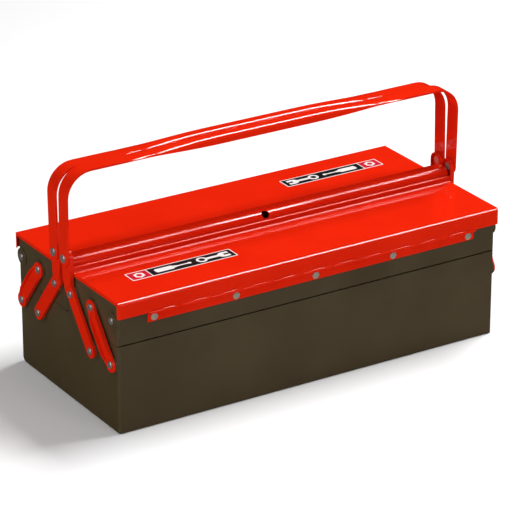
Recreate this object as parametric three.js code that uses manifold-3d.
// Three-compartment cantilever toolbox with two folding tray compartments.
// X runs along the box, -Y is the front, +Z is up; all sizes in millimetres.
import * as THREE from 'three';
import Module from 'manifold-3d';
import { mergeVertices } from 'three/addons/utils/BufferGeometryUtils.js';

const wasm = await Module();
wasm.setup();
const { Manifold, Mesh: ManifoldMesh } = wasm;

// Driving dimensions
const LENGTH = 488;            // base and trays, outside, along X
const DEPTH = 220;             // base and closed trays, outside, along Y
const SHEET = 1.2;             // steel of the base and trays
const CORNER = 4;              // upright corner radius of the pressed boxes
const BASE_TOP = 102.4;        // rim of the base
const BASE_FRONT_R = 2.6;      // bottom edge radius, front and ends
const BASE_REAR_R = 14;        // bottom edge radius, rear
const HEM = 7;                 // depth of the folded rim inside the base
const TRAY_BOTTOM = 102.9;
const TRAY_TOP = 153;
const TRAY_INNER_TOP = 147;    // the walls that meet in the middle are lower
const TRAY_GAP = 0.5;          // each tray stops this far from the middle

const LID_TOP = 155;
const LID_SHEET = 1;
const LID_BOTTOM = 136.6;      // lower edge of the long skirt
const LID_SIDE = 115;          // outside of the long skirt
const LID_END = 245.5;         // outside of the short end lips
const LIP_BOTTOM = 151.2;
const RISER_Y = 19.2;          // upturned inner edge of the front lid
const RISER_HEM = 3.3;         // its thickness, rolled back on itself
const RISER_TOP = 161.5;
const RISER_R = 1.6;           // radius of its rolled top
const RISER_FOOT_R = 2.2;
const RIDGE_FRONT = 15.4;      // ridge of the rear lid, reaching past the middle
const RIDGE_REAR = 9;
const RIDGE_TOP = 170;
const RIDGE_LOW = 158;
const RIDGE_R = 9;
const LOCK_HOLE_R = 4.7;

const PIVOT_LOW_Z = 79.4;      // arm pivots on the base
const PIVOT_HIGH_Z = 130.4;    // arm pivots on the trays
const INNER_LOW_Y = 58.2;
const INNER_HIGH_Y = 17.4;
const OUTER_LOW_Y = 99.3;
const OUTER_HIGH_Y = 58.5;
const SPARE_Y = 100;           // riveted boss at the outer end of each tray
const BOSS_R = 9.8;
const BOSS_OUT = 1.5;          // bosses stand this far out of the end panels
const HOLE_R = 2.8;            // pivot holes
const SHANK_R = 2.4;           // rivet shanks
const ARM_HEAD_R = 4.2;        // rivet heads on the arms
const GRIP_HEAD_R = 4.8;       // rivet heads on the handles
const DOME = 2.2;              // height of the outer heads
const BACK_HEAD = 1.3;         // thickness of the inner heads
const BACK_SHARE = 0.9;        // an inner head is this much as wide as the outer one

const OUTER_R = 8.6;           // half the width of an outer arm
const INNER_R = 8;             // half the width of an inner arm
const POST_R = 8.3;            // half the width of its upright end, at the foot
const POST_TOP_R = 9.4;        // and round the handle pivot
const ARM_GAP = 0.4;           // between a boss and the arm in front of it
const ARM_SHEET = 1.5;
const ARM_FLANGE = 3.2;        // height of an outer arm's flanges beyond the web
const FLANGE_START = 7.5;      // the flanges rise from the web this far from the pivots
const FLANGE_FULL = 17;        // and reach their full height this far from them
const INNER_DEPTH = 3.4;       // depth of an inner arm, with its edges turned in
const KINK = { y: 12.1, z: 137 };
const POST_FOOT = { y: 11.7, z: 145.4 };
const PAD_R = 6;               // flat pads that bear on the bosses

const GRIP_Y = 11;             // handle pivots
const GRIP_Z = 170.6;
const GRIP_TOP_FRONT = 271.1;  // top of the flat strip beside the corners
const GRIP_TOP_REAR = 267.2;
const GRIP_HALF = 9;           // half the width of the handle strip
const GRIP_SHEET = 2.2;
const GRIP_BEND = 29;          // centreline radius of the upper corners
const GRIP_LEAN = 1.2;         // degrees each handle leans from the middle
const GRIP_FLAT = 3.45;        // half width of the flat middle of the channel
const GRIP_CURL = 80;          // degrees the channel edges turn down
const GRIP_ARC = 4.75;         // length of strip in each bend
const GRIP_SKIRT = 4.5;        // straight edge below each bend, in the middle
const GRIP_RISE = 4.1;         // the channel's back stands above the flat strip
const GRIP_FORMED = 58;        // the channel is full depth up to here
const GRIP_FADE = 135;         // and fades out over this length

const HINGE_HALF = 211;        // half the length of each hinge
const HINGE_SHIFT = 3;         // the hinges sit this far off the middle
const PIN_Y = 113.9;
const PIN_Z = 136;
const PIN_R = 0.9;
const ROLL_IN = 1.2;
const ROLL_OUT = 2;            // the rolled knuckles stand out just past the skirt
const ROLL_CLEAR = 0.35;
const ROLL_END = 0.3;
const KNUCKLES = 11;
const LEAF_LOW = 124;
const LEAF_SHEET = 0.9;
const HINGE_RIVET_Z = 129.2;
const HINGE_RIVET_STEP = 101.5;
const HINGE_HOLE_R = 2.2;
const HINGE_SHANK_R = 1.9;
const HINGE_HEAD_R = 4.2;
const HINGE_DOME = 1.6;
const HINGE_GRIP = 1.5;        // half the length of a hinge rivet between its heads

const HALF = LENGTH / 2;
const SIDE = DEPTH / 2;
const WEB_X = HALF + BOSS_OUT + ARM_GAP;
const FLANGE_X = WEB_X + ARM_SHEET + ARM_FLANGE;
const GRIP_X = FLANGE_X + ARM_GAP;
const PLAY = 0.3;              // between a rivet's heads and the sheets they hold
const WALL_IN = HALF - SHEET - PLAY;

const RED = new THREE.MeshStandardMaterial({ color: 0xd92a12, roughness: 0.32, metalness: 0 });
const GREY = new THREE.MeshStandardMaterial({ color: 0x423a30, roughness: 0.5, metalness: 0 });
const STEEL = new THREE.MeshStandardMaterial({ color: 0xb9b6ae, roughness: 0.35, metalness: 1 });
const ZINC = new THREE.MeshStandardMaterial({ color: 0xaaa69b, roughness: 0.5, metalness: 1 });

// ---- solids ---------------------------------------------------------------

// A closed three.js geometry as a solid that can be joined and cut.
function solid(geometry) {
  const bare = geometry.clone();
  bare.deleteAttribute('normal');
  bare.deleteAttribute('uv');
  const merged = mergeVertices(bare, 1e-5);
  const index = merged.index.array;
  const faces = [];
  for (let i = 0; i < index.length; i += 3) {
    const [a, b, c] = [index[i], index[i + 1], index[i + 2]];
    if (a !== b && b !== c && c !== a) faces.push(a, b, c);
  }
  return new Manifold(new ManifoldMesh({
    numProp: 3,
    vertProperties: new Float32Array(merged.attributes.position.array),
    triVerts: new Uint32Array(faces),
  }));
}

function geometryOf(body) {
  const mesh = body.getMesh();
  const geometry = new THREE.BufferGeometry();
  geometry.setAttribute('position', new THREE.BufferAttribute(mesh.vertProperties, 3));
  geometry.setIndex(new THREE.BufferAttribute(mesh.triVerts, 1));
  geometry.computeVertexNormals();
  return geometry;
}

function node(name, body, material) {
  const mesh = new THREE.Mesh(geometryOf(body), material);
  mesh.name = name;
  return mesh;
}

// The same solid turned half a turn about the vertical axis.
function halfTurn(body) {
  return body.rotate([0, 0, 180]);
}

// ---- outlines -------------------------------------------------------------

// Corners are [a, b, radius]; each one is rounded with an arc of that radius.
function outline(corners, steps = 6) {
  const points = [];
  corners.forEach(([a, b, radius = 0], i) => {
    const corner = new THREE.Vector2(a, b);
    if (radius === 0) {
      points.push(corner);
      return;
    }
    const before = corners.at(i - 1);
    const after = corners[(i + 1) % corners.length];
    const back = new THREE.Vector2(before[0], before[1]).sub(corner).normalize();
    const ahead = new THREE.Vector2(after[0], after[1]).sub(corner).normalize();
    const half = Math.acos(back.dot(ahead)) / 2;
    const toCentre = back.clone().add(ahead).normalize();
    const centre = corner.clone().addScaledVector(toCentre, radius / Math.sin(half));
    const start = corner.clone().addScaledVector(back, radius / Math.tan(half)).sub(centre);
    const end = corner.clone().addScaledVector(ahead, radius / Math.tan(half)).sub(centre);
    const turn = Math.atan2(start.cross(end), start.dot(end));
    for (let k = 0; k <= steps; k += 1) {
      points.push(start.clone().rotateAround(new THREE.Vector2(), (turn * k) / steps).add(centre));
    }
  });
  return points;
}

function extruded(points, depth) {
  return new THREE.ExtrudeGeometry(new THREE.Shape(points), { depth, bevelEnabled: false });
}

const Y_AXIS = new THREE.Vector3(0, 1, 0);
const Z_AXIS = new THREE.Vector3(0, 0, 1);
const X_AXIS = new THREE.Vector3(1, 0, 0);

// A (y, z) outline made solid from x0 to x1.
function alongX(points, x0, x1) {
  const geometry = extruded(points, x1 - x0);
  geometry.applyMatrix4(new THREE.Matrix4().makeBasis(Y_AXIS, Z_AXIS, X_AXIS));
  return solid(geometry.translate(x0, 0, 0));
}

// An (x, z) outline made solid from y0 to y1.
function alongY(points, y0, y1) {
  const geometry = extruded(points, y1 - y0);
  const back = new THREE.Vector3(0, -1, 0);
  geometry.applyMatrix4(new THREE.Matrix4().makeBasis(X_AXIS, Z_AXIS, back));
  return solid(geometry.translate(0, y1, 0));
}

// An (x, y) outline made solid from z0 to z1.
function alongZ(points, z0, z1) {
  return solid(extruded(points, z1 - z0).translate(0, 0, z0));
}

function box(x0, x1, y0, y1, z0, z1) {
  const geometry = new THREE.BoxGeometry(x1 - x0, y1 - y0, z1 - z0);
  return solid(geometry.translate((x0 + x1) / 2, (y0 + y1) / 2, (z0 + z1) / 2));
}

// A round bar along X, with its axis through (y, z).
function barX(radius, x0, x1, y, z, sides = 16) {
  const geometry = new THREE.CylinderGeometry(radius, radius, x1 - x0, sides);
  return solid(geometry.rotateZ(Math.PI / 2).translate((x0 + x1) / 2, y, z));
}

function barY(radius, y0, y1, x, z, sides = 14) {
  const geometry = new THREE.CylinderGeometry(radius, radius, y1 - y0, sides);
  return solid(geometry.translate(x, (y0 + y1) / 2, z));
}

function plan(halfX, y0, y1, radii) {
  return outline([
    [-halfX, y0, radii[0]],
    [halfX, y0, radii[0]],
    [halfX, y1, radii[1]],
    [-halfX, y1, radii[1]],
  ], 5);
}

// Bosses for the pivots at both ends, as one solid that reaches into the wall.
function endBosses(pivots, z) {
  const bosses = [];
  for (const y of pivots) {
    bosses.push(barX(BOSS_R, HALF - 3, HALF + BOSS_OUT, y, z, 28));
    bosses.push(barX(BOSS_R, -HALF - BOSS_OUT, -HALF + 3, y, z, 28));
  }
  return bosses;
}

function endHoles(pivots, z) {
  return pivots.map((y) => barX(HOLE_R, -HALF - 5, HALF + 5, y, z));
}

// ---- base -----------------------------------------------------------------

// The outside of the base moved inwards by an offset, up to the height z1.
function baseBlock(inset, z1) {
  const half = HALF - inset;
  const side = SIDE - inset;
  const front = BASE_FRONT_R - inset;
  const rear = BASE_REAR_R - inset;
  const section = outline([[-side, inset, front], [side, inset, rear], [side, z1], [-side, z1]]);
  const length = outline([[-half, inset, front], [half, inset, front], [half, z1], [-half, z1]]);
  const corner = CORNER - inset;
  return alongX(section, -half, half)
    .intersect(alongY(length, -side, side))
    .intersect(alongZ(plan(half, -side, side, [corner, corner]), inset, z1));
}

function foldedRim() {
  const fold = SHEET + 0.02;
  const outer = plan(HALF - fold / 2, -SIDE + fold / 2, SIDE - fold / 2, [3, 3]);
  const inner = plan(HALF - 2 * SHEET, -SIDE + 2 * SHEET, SIDE - 2 * SHEET, [2, 2]);
  return alongZ(outer, BASE_TOP - HEM, BASE_TOP)
    .subtract(alongZ(inner, BASE_TOP - HEM - 1, BASE_TOP + 1));
}

function baseBox() {
  const pivots = [-OUTER_LOW_Y, -INNER_LOW_Y, INNER_LOW_Y, OUTER_LOW_Y];
  return Manifold.union([baseBlock(0, BASE_TOP), ...endBosses(pivots, PIVOT_LOW_Z)])
    .subtract(baseBlock(SHEET, BASE_TOP + 1))
    .add(foldedRim())
    .subtract(Manifold.union(endHoles(pivots, PIVOT_LOW_Z)));
}

// ---- trays ----------------------------------------------------------------

function trayBlock(inset) {
  const top = inset > 0 ? TRAY_TOP + 1 : TRAY_TOP;
  const y0 = -SIDE + inset;
  const y1 = -TRAY_GAP - inset;
  const z0 = TRAY_BOTTOM + inset;
  const edge = 2.4 - inset;
  const section = outline([[y0, z0, edge], [y1, z0, edge], [y1, top], [y0, top]], 3);
  const radii = [CORNER - inset, 2.4 - inset];
  return alongX(section, -HALF + inset, HALF - inset)
    .intersect(alongZ(plan(HALF - inset, y0, y1, radii), z0, top));
}

// Space above the sloping inner corners and the low inner wall.
function trayTopCut() {
  return alongX([
    new THREE.Vector2(-RIDGE_FRONT, TRAY_TOP + 2),
    new THREE.Vector2(-RIDGE_FRONT, TRAY_TOP),
    new THREE.Vector2(-2, TRAY_INNER_TOP),
    new THREE.Vector2(1, TRAY_INNER_TOP),
    new THREE.Vector2(1, TRAY_TOP + 2),
  ], -HALF - 1, HALF + 1);
}

function hingeRivetPlaces() {
  return [-2, -1, 0, 1, 2].map((k) => HINGE_SHIFT + k * HINGE_RIVET_STEP);
}

function tray() {
  const pivots = [-SPARE_Y, -OUTER_HIGH_Y, -INNER_HIGH_Y];
  const hingeHoles = hingeRivetPlaces().map(
    (x) => barY(HINGE_HOLE_R, -SIDE - 2, -SIDE + 3, x, HINGE_RIVET_Z),
  );
  return Manifold.union([trayBlock(0), ...endBosses(pivots, PIVOT_HIGH_Z)])
    .subtract(trayBlock(SHEET))
    .subtract(trayTopCut())
    .subtract(Manifold.union([...endHoles(pivots, PIVOT_HIGH_Z), ...hingeHoles]));
}

// ---- lids and hinges ------------------------------------------------------

const HINGE_X0 = HINGE_SHIFT - HINGE_HALF;
const HINGE_X1 = HINGE_SHIFT + HINGE_HALF;
const PITCH = (2 * HINGE_HALF) / KNUCKLES;

// Every second knuckle, starting at the first or the second one.
function knuckles(first) {
  const rolls = [];
  for (let k = first; k < KNUCKLES; k += 2) {
    const x0 = HINGE_X0 + k * PITCH + ROLL_END;
    const x1 = HINGE_X0 + (k + 1) * PITCH - ROLL_END;
    rolls.push(barX(ROLL_OUT, x0, x1, -PIN_Y, PIN_Z, 12));
  }
  return rolls;
}

function pinTunnel() {
  return barX(ROLL_IN, HINGE_X0 - 1, HINGE_X1 + 1, -PIN_Y, PIN_Z, 12);
}

// Clears the bottom edge of a part away from the other part's knuckles.
function knuckleRelief(first) {
  const gaps = [];
  for (let k = first; k < KNUCKLES; k += 2) {
    const x0 = HINGE_X0 + k * PITCH;
    gaps.push(barX(ROLL_OUT + ROLL_CLEAR, x0, x0 + PITCH, -PIN_Y, PIN_Z, 12));
  }
  return Manifold.union(gaps);
}

function lidPlan(inset, innerY) {
  return plan(LID_END - inset, -LID_SIDE + inset, innerY, [3 - inset, 0]);
}

// The end lips are short: cut away below them, behind the long skirt.
function lipCut(innerY) {
  const y0 = -LID_SIDE + LID_SHEET + 2.5;
  const left = box(-LID_END - 1, -LID_END + 3, y0, innerY, LID_BOTTOM - 1, LIP_BOTTOM);
  const right = box(LID_END - 3, LID_END + 1, y0, innerY, LID_BOTTOM - 1, LIP_BOTTOM);
  return left.add(right);
}

function frontLid() {
  const back = -RISER_Y + RISER_HEM;
  const shell = outline([
    [-LID_SIDE, LID_BOTTOM],
    [-LID_SIDE, LID_TOP, 3],
    [-RISER_Y, LID_TOP, RISER_FOOT_R],
    [-RISER_Y, RISER_TOP, RISER_R],
    [back, RISER_TOP, RISER_R],
    [back, LID_BOTTOM],
  ]);
  const under = LID_TOP - LID_SHEET;
  const hollow = outline([
    [-LID_SIDE + LID_SHEET, LID_BOTTOM - 1],
    [-LID_SIDE + LID_SHEET, under, 2],
    [back, under, 2.4],
    [back, under + 5],
    [back + 1, under + 5],
    [back + 1, LID_BOTTOM - 1],
  ]);
  return alongX(shell, -LID_END, LID_END)
    .intersect(alongZ(lidPlan(0, back), LID_BOTTOM, RISER_TOP))
    .subtract(
      alongX(hollow, -LID_END, LID_END)
        .intersect(alongZ(lidPlan(LID_SHEET, back + 1), LID_BOTTOM - 1, RISER_TOP)),
    )
    .subtract(lipCut(back + 1))
    .subtract(knuckleRelief(0))
    .add(Manifold.union(knuckles(1)))
    .subtract(pinTunnel());
}

// Built like the front lid and turned round at the end, so the ridge is at +Y here.
function rearLid() {
  const inner = -RIDGE_REAR + LID_SHEET;
  const under = LID_TOP - LID_SHEET;
  const shell = outline([
    [-LID_SIDE, LID_BOTTOM],
    [-LID_SIDE, LID_TOP, 3],
    [-RIDGE_REAR, LID_TOP, 1.5],
    [-RIDGE_REAR, RIDGE_TOP, RIDGE_R],
    [RIDGE_FRONT, RIDGE_TOP, RIDGE_R],
    [RIDGE_FRONT, RIDGE_LOW],
    [inner, RIDGE_LOW],
    [inner, LID_BOTTOM],
  ]);
  const hollow = outline([
    [-LID_SIDE + LID_SHEET, LID_BOTTOM - 1],
    [-LID_SIDE + LID_SHEET, under, 2],
    [inner, under],
    [inner, LID_BOTTOM - 1],
  ]);
  const tunnel = outline([
    [inner, under - 2],
    [inner, RIDGE_TOP - LID_SHEET, RIDGE_R - LID_SHEET],
    [RIDGE_FRONT - LID_SHEET, RIDGE_TOP - LID_SHEET, RIDGE_R - LID_SHEET],
    [RIDGE_FRONT - LID_SHEET, under - 2],
  ]);
  return alongX(shell, -LID_END, LID_END)
    .intersect(alongZ(lidPlan(0, RIDGE_FRONT), LID_BOTTOM, RIDGE_TOP))
    .subtract(
      alongX(hollow, -LID_END, LID_END)
        .intersect(alongZ(lidPlan(LID_SHEET, inner), LID_BOTTOM - 1, LID_TOP)),
    )
    .subtract(alongX(tunnel, -LID_END - 1, LID_END + 1))
    .subtract(lipCut(inner + 0.01))
    .subtract(knuckleRelief(0))
    .add(Manifold.union(knuckles(1)))
    .subtract(pinTunnel())
    .subtract(lockHole(1))
    .subtract(lockHole(-1));
}

// A round hole through the shoulder of the ridge, square to its surface.
function lockHole(side) {
  const angle = THREE.MathUtils.degToRad(50);
  const centreY = side > 0 ? RIDGE_FRONT - RIDGE_R : -RIDGE_REAR + RIDGE_R;
  const centreZ = RIDGE_TOP - RIDGE_R;
  const geometry = new THREE.CylinderGeometry(LOCK_HOLE_R, LOCK_HOLE_R, 6, 24);
  geometry.translate(0, RIDGE_R - 1, 0).rotateX(side * (Math.PI / 2 - angle));
  return solid(geometry.translate(0, centreY, centreZ));
}

function hingeLeaf() {
  const face = -SIDE - 0.3;
  const holes = hingeRivetPlaces().map(
    (x) => barY(HINGE_HOLE_R, face - 3, face + 3, x, HINGE_RIVET_Z),
  );
  const sheet = box(HINGE_X0, HINGE_X1, face - LEAF_SHEET, face, LEAF_LOW, PIN_Z);
  const wrap = box(HINGE_X0, HINGE_X1, -PIN_Y, face, PIN_Z - ROLL_OUT, PIN_Z - ROLL_IN);
  return sheet.add(wrap)
    .subtract(knuckleRelief(1))
    .add(Manifold.union(knuckles(0)))
    .subtract(Manifold.union([...holes, pinTunnel()]));
}

function hingePin() {
  return barX(PIN_R, HINGE_X0, HINGE_X1, -PIN_Y, PIN_Z, 14);
}

// ---- arms -----------------------------------------------------------------

function stadium(from, to, radius, endRadius, x0, x1) {
  const direction = new THREE.Vector2().subVectors(to, from);
  const angle = direction.angle();
  const spread = Math.acos((radius - endRadius) / direction.length());
  const points = [];
  const steps = 12;
  for (let k = 0; k <= steps; k += 1) {
    const t = angle + spread + ((2 * Math.PI - 2 * spread) * k) / steps;
    points.push(new THREE.Vector2(from.x + radius * Math.cos(t), from.y + radius * Math.sin(t)));
  }
  for (let k = 0; k <= steps; k += 1) {
    const t = angle - spread + (2 * spread * k) / steps;
    points.push(new THREE.Vector2(to.x + endRadius * Math.cos(t), to.y + endRadius * Math.sin(t)));
  }
  return alongX(points, x0, x1);
}

// Arms are drawn for the +X end; side is -1 at the front and 1 at the rear.
function armPoint(side, y, z) {
  return new THREE.Vector2(side * y, z);
}

function armHole(point) {
  return barX(HOLE_R, WEB_X - 1, FLANGE_X + 1, point.x, point.y);
}

// The space round a pivot that keeps the flanges low there, wider further out.
function flangeSlope(point) {
  const depth = ARM_FLANGE + 0.1;
  const wide = FLANGE_START + ((FLANGE_FULL - FLANGE_START) * depth) / ARM_FLANGE;
  const geometry = new THREE.CylinderGeometry(wide, FLANGE_START, depth, 20);
  geometry.rotateZ(-Math.PI / 2);
  return solid(geometry.translate(WEB_X + ARM_SHEET + depth / 2, point.x, point.y));
}

// A flat web with a flange along each edge, turned outwards between the pivots.
function outerArm(side) {
  const low = armPoint(side, OUTER_LOW_Y, PIVOT_LOW_Z);
  const high = armPoint(side, OUTER_HIGH_Y, PIVOT_HIGH_Z);
  const shape = (inset, x0, x1) => {
    const radius = OUTER_R - inset;
    return stadium(low, high, radius, radius, x0, x1);
  };
  const flanges = shape(0, WEB_X, FLANGE_X)
    .subtract(shape(ARM_SHEET, WEB_X - 1, FLANGE_X + 1))
    .subtract(Manifold.union([low, high].map(flangeSlope)));
  return shape(0, WEB_X, WEB_X + ARM_SHEET)
    .add(flanges)
    .subtract(armHole(low))
    .subtract(armHole(high));
}

// A shallow dish, open towards the box, that steps outwards into an upright post.
function innerArm(side) {
  const low = armPoint(side, INNER_LOW_Y, PIVOT_LOW_Z);
  const middle = armPoint(side, INNER_HIGH_Y, PIVOT_HIGH_Z);
  const kink = armPoint(side, KINK.y, KINK.z);
  const foot = armPoint(side, POST_FOOT.y, POST_FOOT.z);
  const top = armPoint(side, GRIP_Y, GRIP_Z);
  const dish = (inset, x0) => {
    const legTop = WEB_X + INNER_DEPTH - inset;
    const leg = stadium(low, kink, INNER_R - inset, INNER_R - inset, x0, legTop);
    const neck = stadium(kink, foot, INNER_R - inset, POST_R - inset, x0, legTop);
    const post = stadium(foot, top, POST_R - inset, POST_TOP_R - inset, x0, FLANGE_X - inset);
    return Manifold.union([leg, neck, post]);
  };
  const padTop = WEB_X + INNER_DEPTH - ARM_SHEET;
  const pads = [low, middle].map((p) => barX(PAD_R, WEB_X, padTop + 0.1, p.x, p.y, 20));
  return dish(0, WEB_X)
    .subtract(dish(ARM_SHEET, WEB_X - 1))
    .add(Manifold.union(pads))
    .subtract(Manifold.union([low, middle, top].map(armHole)));
}

// ---- handles --------------------------------------------------------------

// Half the middle line of the strip's section, from its centre to one edge: each
// point has a place across, a height and the angle that the strip has turned there.
function sectionLine(formed) {
  const full = THREE.MathUtils.degToRad(GRIP_CURL) * Math.max(formed, 0.01);
  const radius = GRIP_ARC / full;
  const skirt = GRIP_HALF - GRIP_FLAT - GRIP_ARC + GRIP_SKIRT * formed;
  const line = [];
  const steps = 4;
  for (let k = 0; k <= steps; k += 1) {
    const angle = (full * k) / steps;
    const across = GRIP_FLAT + radius * Math.sin(angle);
    line.push({ across, up: radius * (Math.cos(angle) - 1), angle });
  }
  const end = line.at(-1);
  line.push({
    across: end.across + skirt * Math.cos(full),
    up: end.up - skirt * Math.sin(full),
    angle: full,
  });
  return line;
}

function section(formed) {
  const side = (lift) => sectionLine(formed).map(({ across, up, angle }) => ({
    across: across + lift * Math.sin(angle),
    up: up + lift * Math.cos(angle) + GRIP_RISE * formed,
  }));
  const mirrored = (points) => points.map((p) => ({ across: -p.across, up: p.up }));
  const upper = side(GRIP_SHEET / 2);
  const lower = side(-GRIP_SHEET / 2);
  return [...mirrored(upper).reverse(), ...upper, ...lower.reverse(), ...mirrored(side(-GRIP_SHEET / 2))];
}

// Stations along the strip: a place, the outward direction and how far it is formed.
function gripStations(gripTop) {
  const legX = GRIP_X + GRIP_SHEET / 2;
  const runZ = gripTop - GRIP_SHEET / 2;
  const right = [{ x: legX, z: GRIP_Z, angle: 0, formed: 0 }];
  const turns = 8;
  for (let k = 0; k <= turns; k += 1) {
    const angle = ((Math.PI / 2) * k) / turns;
    const x = legX - GRIP_BEND + GRIP_BEND * Math.cos(angle);
    const z = runZ - GRIP_BEND + GRIP_BEND * Math.sin(angle);
    right.push({ x, z, angle, formed: 0 });
  }
  const fades = 9;
  for (let k = 0; k <= fades; k += 1) {
    const t = k / fades;
    const x = GRIP_FORMED + GRIP_FADE * (1 - t);
    right.push({ x, z: runZ, angle: Math.PI / 2, formed: t * t * (3 - 2 * t) });
  }
  const left = right.map((p) => ({ ...p, x: -p.x, angle: Math.PI - p.angle }));
  return [...right, ...left.reverse()];
}

function sweptStrip(stations) {
  const positions = [];
  for (const station of stations) {
    for (const point of section(station.formed)) {
      positions.push(
        station.x + point.up * Math.cos(station.angle),
        point.across,
        station.z + point.up * Math.sin(station.angle),
      );
    }
  }
  const ring = section(0).length;
  const faces = [];
  for (let i = 0; i + 1 < stations.length; i += 1) {
    for (let j = 0; j < ring; j += 1) {
      const a = i * ring + j;
      const b = i * ring + ((j + 1) % ring);
      faces.push(a, b, b + ring, a, b + ring, a + ring);
    }
  }
  const last = (stations.length - 1) * ring;
  for (let j = 0; j + 1 < ring / 2; j += 1) {
    const [a, b, c, d] = [j, j + 1, ring - 2 - j, ring - 1 - j];
    faces.push(a, d, b, b, d, c);
    faces.push(last + a, last + b, last + d, last + b, last + c, last + d);
  }
  const geometry = new THREE.BufferGeometry();
  geometry.setAttribute('position', new THREE.Float32BufferAttribute(positions, 3));
  geometry.setIndex(faces);
  return solid(geometry);
}

// Drawn leaning back, as the rear handle; the front one is turned round.
function handle(gripTop) {
  let body = sweptStrip(gripStations(gripTop));
  for (const x0 of [GRIP_X, -GRIP_X - GRIP_SHEET]) {
    body = body.add(barX(GRIP_HALF, x0, x0 + GRIP_SHEET, 0, GRIP_Z, 32));
  }
  return body
    .subtract(barX(HOLE_R, -GRIP_X - 5, GRIP_X + 5, 0, GRIP_Z))
    .translate([0, 0, -GRIP_Z])
    .rotate([-GRIP_LEAN, 0, 0])
    .translate([0, GRIP_Y, GRIP_Z]);
}

// ---- rivets ---------------------------------------------------------------

// A rivet on its axis: a flat head below `inner`, a shank and a dome above `outer`.
function rivetSolid(inner, outer, shankR, headR, backHead, dome) {
  const backR = headR * BACK_SHARE;
  const profile = [
    [0, inner - backHead],
    [backR, inner - backHead],
    [backR, inner],
    [shankR, inner],
    [shankR, outer],
    [headR, outer],
    [headR * 0.94, outer + dome * 0.4],
    [headR * 0.7, outer + dome * 0.8],
    [0, outer + dome],
  ].map(([radius, height]) => new THREE.Vector2(radius, height));
  return new THREE.LatheGeometry(profile, 12);
}

// A rivet along X for the +X end, with its dome outside.
function rivet(innerX, outerX, headR, y, z) {
  const geometry = rivetSolid(innerX, outerX, SHANK_R, headR, BACK_HEAD, DOME);
  return solid(geometry.rotateZ(-Math.PI / 2).translate(0, y, z));
}

function outerRivet(y, z) {
  return rivet(WALL_IN, WEB_X + ARM_SHEET + PLAY, ARM_HEAD_R, y, z);
}

function innerRivet(y, z) {
  return rivet(WALL_IN, WEB_X + INNER_DEPTH + PLAY, ARM_HEAD_R, y, z);
}

function spareRivet(y, z) {
  return rivet(WALL_IN, HALF + BOSS_OUT + PLAY, ARM_HEAD_R, y, z);
}

// Its inner head lies in the hollow behind the post, clear of the lids.
function gripRivet(y, z) {
  return rivet(FLANGE_X - ARM_SHEET - PLAY, GRIP_X + GRIP_SHEET + PLAY, GRIP_HEAD_R, y, z);
}

// A small rivet through a hinge leaf and the tray wall behind it.
function hingeRivet(x) {
  const geometry = rivetSolid(
    -HINGE_GRIP,
    HINGE_GRIP,
    HINGE_SHANK_R,
    HINGE_HEAD_R,
    BACK_HEAD,
    HINGE_DOME,
  );
  return solid(geometry.rotateX(Math.PI).translate(x, -SIDE, HINGE_RIVET_Z));
}

// ---- assembly -------------------------------------------------------------

// Front parts are turned half round to make the rear ones, and the other way about.
function addPair(group, name, frontBody, material) {
  group.add(node(`front_${name}`, frontBody, material));
  group.add(node(`rear_${name}`, halfTurn(frontBody), material));
}

// make(side) builds the part for the +X end at the front (-1) or the rear (1).
function addFour(group, name, make, material) {
  for (const [side, word] of [[-1, 'front'], [1, 'rear']]) {
    group.add(node(`${word}_${name}_right`, make(side), material));
    group.add(node(`${word}_${name}_left`, halfTurn(make(-side)), material));
  }
}

function toolbox() {
  const group = new THREE.Group();
  group.name = 'toolbox_with_tray';
  group.add(node('base_box', baseBox(), GREY));
  addPair(group, 'tray', tray(), GREY);
  group.add(node('front_lid', frontLid(), RED));
  group.add(node('rear_lid', halfTurn(rearLid()), RED));
  addPair(group, 'hinge_leaf', hingeLeaf(), RED);
  addPair(group, 'hinge_pin', hingePin(), STEEL);
  addFour(group, 'outer_arm', outerArm, RED);
  addFour(group, 'inner_arm', innerArm, RED);
  group.add(node('front_handle', halfTurn(handle(GRIP_TOP_FRONT)), RED));
  group.add(node('rear_handle', handle(GRIP_TOP_REAR), RED));
  const places = {
    outer_low_rivet: (side) => outerRivet(side * OUTER_LOW_Y, PIVOT_LOW_Z),
    outer_high_rivet: (side) => outerRivet(side * OUTER_HIGH_Y, PIVOT_HIGH_Z),
    inner_low_rivet: (side) => innerRivet(side * INNER_LOW_Y, PIVOT_LOW_Z),
    inner_high_rivet: (side) => innerRivet(side * INNER_HIGH_Y, PIVOT_HIGH_Z),
    spare_rivet: (side) => spareRivet(side * SPARE_Y, PIVOT_HIGH_Z),
    handle_rivet: (side) => gripRivet(side * GRIP_Y, GRIP_Z),
  };
  for (const [name, make] of Object.entries(places)) addFour(group, name, make, STEEL);
  hingeRivetPlaces().forEach((x, i) => {
    addPair(group, `hinge_rivet_${i + 1}`, hingeRivet(x), ZINC);
  });
  return group;
}

export default toolbox();
